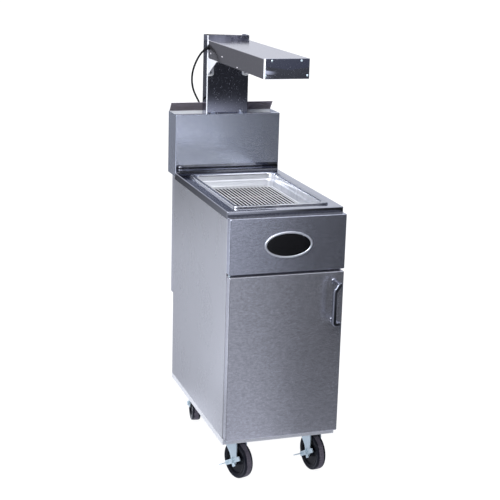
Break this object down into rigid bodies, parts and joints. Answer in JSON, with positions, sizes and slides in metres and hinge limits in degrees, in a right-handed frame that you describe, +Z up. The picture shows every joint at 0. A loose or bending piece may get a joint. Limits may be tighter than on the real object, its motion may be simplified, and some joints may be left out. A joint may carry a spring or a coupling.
{
  "type": "french fry dump station",
  "caption": "Free-standing stainless fry dump station on swivel casters, with a hinged door, a loose pan and drain grate in the deck, and an overhead strip heater on a rear post.",
  "frame": {"origin": "on the floor, under the middle of the bounding box without the hanging cord and its plug", "axes": "+Z up, front faces -Y, +X to the right as seen from the front"},
  "size_m": [0.394, 0.8416, 1.432],
  "materials": {
    "brushed_sheet": "brushed stainless sheet, grain along the panel",
    "polished_sheet": "bright annealed stainless sheet, nearly mirror smooth",
    "pan_steel": "bright drawn stainless",
    "reflector_sheet": "bright",
    "chrome_trim": "chrome plated",
    "chrome_wire": "chrome plated wire",
    "zinc_plate": "bright zinc plated",
    "badge_field": "gloss black, bare",
    "caster_wheel": "black, worn tread",
    "black_rubber": "moulded, satin",
    "cord_jacket": "satin",
    "element_sheath": "heat tinted",
    "insulator": "unglazed",
    "blade_brass": "bare",
    "magnet_block": "matt"
  },
  "bodies": {
    "cabinet": {"back_panel": "brushed_sheet", "badge_plate": "badge_field", "badge_ring": "chrome_trim", "base_frame": "brushed_sheet", "caster_fl_plate": "zinc_plate", "caster_fr_plate": "zinc_plate", "caster_rl_plate": "zinc_plate", "caster_rr_plate": "zinc_plate", "deck_top": "polished_sheet", "element_guard": "zinc_plate", "element_holder_front": "insulator", "element_holder_rear": "insulator", "floor_panel": "brushed_sheet", "flue_deflector": "polished_sheet", "front_panel": "brushed_sheet", "front_rail": "brushed_sheet", "heater_element": "element_sheath", "hinge_bracket_lower": "brushed_sheet", "hinge_pin_lower": "zinc_plate", "hinge_pin_upper": "zinc_plate", "lamp_bracket_left": "polished_sheet", "lamp_bracket_right": "polished_sheet", "lamp_cord": "cord_jacket", "lamp_end_plate_front": "polished_sheet", "lamp_end_plate_rear": "polished_sheet", "lamp_housing": "polished_sheet", "lamp_post": "polished_sheet", "lamp_reflector": "reflector_sheet", "magnet_catch": "magnet_block", "plug_blade_left": "blade_brass", "plug_blade_right": "blade_brass", "plug_body": "black_rubber", "plug_ground_pin": "blade_brass", "rear_chase": "brushed_sheet", "riser_back_panel": "brushed_sheet", "riser_shroud": "brushed_sheet", "side_panel_left": "brushed_sheet", "side_panel_right": "brushed_sheet", "strain_relief": "black_rubber"},
    "door": {"door_skin": "brushed_sheet", "door_liner": "brushed_sheet", "door_handle": "chrome_trim", "strike_plate": "zinc_plate"},
    "pan": {"food_pan": "pan_steel"},
    "grate": {"drain_grate": "chrome_wire"},
    "swivel_fl": {"caster_fl_fork": "zinc_plate", "caster_fl_axle": "zinc_plate"},
    "wheel_fl": {"caster_fl_wheel": "caster_wheel"},
    "brake_fl": {"caster_fl_brake": "zinc_plate"},
    "swivel_fr": {"caster_fr_fork": "zinc_plate", "caster_fr_axle": "zinc_plate"},
    "wheel_fr": {"caster_fr_wheel": "caster_wheel"},
    "brake_fr": {"caster_fr_brake": "zinc_plate"},
    "swivel_rl": {"caster_rl_fork": "zinc_plate", "caster_rl_axle": "zinc_plate"},
    "wheel_rl": {"caster_rl_wheel": "caster_wheel"},
    "swivel_rr": {"caster_rr_fork": "zinc_plate", "caster_rr_axle": "zinc_plate"},
    "wheel_rr": {"caster_rr_wheel": "caster_wheel"}
  },
  "joints": [
    {"name": "door_hinge", "type": "hinge", "parent": "cabinet", "child": "door", "pos_m": [-0.1894, -0.34105, 0.45725], "axis": [0, 0, -1], "range_deg": [0, 115]},
    {"name": "pan_lift", "type": "slide", "parent": "cabinet", "child": "pan", "axis": [0, 0, 1], "range_m": [0, 0.16]},
    {"name": "grate_lift", "type": "slide", "parent": "pan", "child": "grate", "axis": [0, 0, 1], "range_m": [0, 0.1]},
    {"name": "swivel_fl_turn", "type": "hinge", "parent": "cabinet", "child": "swivel_fl", "pos_m": [-0.125, -0.22505, 0.14], "axis": [0, 0, 1], "continuous": true},
    {"name": "wheel_fl_roll", "type": "hinge", "parent": "swivel_fl", "child": "wheel_fl", "pos_m": [-0.1148, -0.25643, 0.0635], "axis": [0.9511, 0.309, 0], "continuous": true},
    {"name": "brake_fl_rock", "type": "hinge", "parent": "swivel_fl", "child": "brake_fl", "pos_m": [-0.1148, -0.25643, 0.0635], "axis": [0.9511, 0.309, 0], "range_deg": [0, 35]},
    {"name": "swivel_fr_turn", "type": "hinge", "parent": "cabinet", "child": "swivel_fr", "pos_m": [0.149, -0.22505, 0.14], "axis": [0, 0, 1], "continuous": true},
    {"name": "wheel_fr_roll", "type": "hinge", "parent": "swivel_fr", "child": "wheel_fr", "pos_m": [0.15416, -0.25764, 0.0635], "axis": [0.9877, 0.1564, 0], "continuous": true},
    {"name": "brake_fr_rock", "type": "hinge", "parent": "swivel_fr", "child": "brake_fr", "pos_m": [0.15416, -0.25764, 0.0635], "axis": [0.9877, 0.1564, 0], "range_deg": [0, 35]},
    {"name": "swivel_rl_turn", "type": "hinge", "parent": "cabinet", "child": "swivel_rl", "pos_m": [-0.125, 0.23495, 0.14], "axis": [0, 0, 1], "continuous": true},
    {"name": "wheel_rl_roll", "type": "hinge", "parent": "swivel_rl", "child": "wheel_rl", "pos_m": [-0.12041, 0.26763, 0.0635], "axis": [-0.9903, 0.1392, 0], "continuous": true},
    {"name": "swivel_rr_turn", "type": "hinge", "parent": "cabinet", "child": "swivel_rr", "pos_m": [0.149, 0.23495, 0.14], "axis": [0, 0, 1], "continuous": true},
    {"name": "wheel_rr_roll", "type": "hinge", "parent": "swivel_rr", "child": "wheel_rr", "pos_m": [0.14555, 0.26777, 0.0635], "axis": [-0.9945, -0.1045, 0], "continuous": true}
  ]
}
